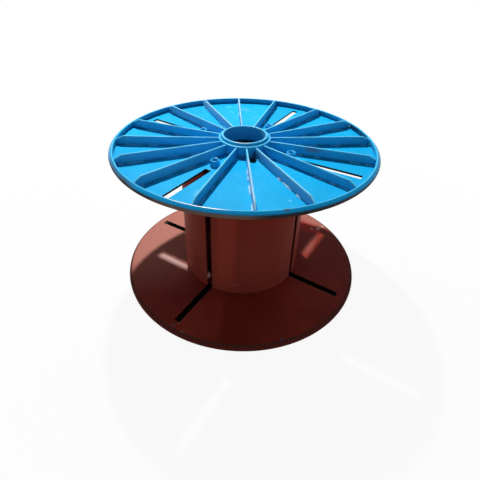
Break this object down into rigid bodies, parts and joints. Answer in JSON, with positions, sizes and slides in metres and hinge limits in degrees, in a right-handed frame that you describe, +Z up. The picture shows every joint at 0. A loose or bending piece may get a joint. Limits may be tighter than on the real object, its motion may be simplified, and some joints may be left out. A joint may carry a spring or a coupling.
{
  "type": "steel flanged bobbin",
  "caption": "Steel reel with ribbed flanges that have folded rims, a slotted barrel and a central bore, standing on its end.",
  "frame": {"origin": "on the axis, at the lower end of the hub tube, where the reel stands", "axes": "+Z up along the axis of the bore; +X and +Y each along a strap slot"},
  "size_m": [0.7999, 0.8, 0.515],
  "materials": {
    "blue_paint": "blue enamel, semi-gloss, worn at edges",
    "red_primer": "matt red oxide primer with light scuffs"
  },
  "bodies": {
    "root": {"hub_tube": "blue_paint", "flange_top": "blue_paint", "collar_top": "blue_paint", "rib_top_01": "blue_paint", "rib_top_02": "blue_paint", "rib_top_03": "blue_paint", "rib_top_04": "blue_paint", "rib_top_05": "blue_paint", "rib_top_06": "blue_paint", "rib_top_07": "blue_paint", "rib_top_08": "blue_paint", "rib_top_09": "blue_paint", "rib_top_10": "blue_paint", "rib_top_11": "blue_paint", "rib_top_12": "blue_paint", "rib_top_13": "blue_paint", "rib_top_14": "blue_paint", "rib_top_15": "blue_paint", "rib_top_16": "blue_paint", "boss_top_1": "blue_paint", "boss_top_2": "blue_paint", "boss_top_3": "blue_paint", "boss_top_4": "blue_paint", "flange_bottom": "blue_paint", "collar_bottom": "blue_paint", "rib_bottom_01": "blue_paint", "rib_bottom_02": "blue_paint", "rib_bottom_03": "blue_paint", "rib_bottom_04": "blue_paint", "rib_bottom_05": "blue_paint", "rib_bottom_06": "blue_paint", "rib_bottom_07": "blue_paint", "rib_bottom_08": "blue_paint", "rib_bottom_09": "blue_paint", "rib_bottom_10": "blue_paint", "rib_bottom_11": "blue_paint", "rib_bottom_12": "blue_paint", "rib_bottom_13": "blue_paint", "rib_bottom_14": "blue_paint", "rib_bottom_15": "blue_paint", "rib_bottom_16": "blue_paint", "boss_bottom_1": "blue_paint", "boss_bottom_2": "blue_paint", "boss_bottom_3": "blue_paint", "boss_bottom_4": "blue_paint", "barrel_plate_1": "red_primer", "barrel_plate_2": "red_primer", "barrel_plate_3": "red_primer", "barrel_plate_4": "red_primer"}
  },
  "joints": []
}
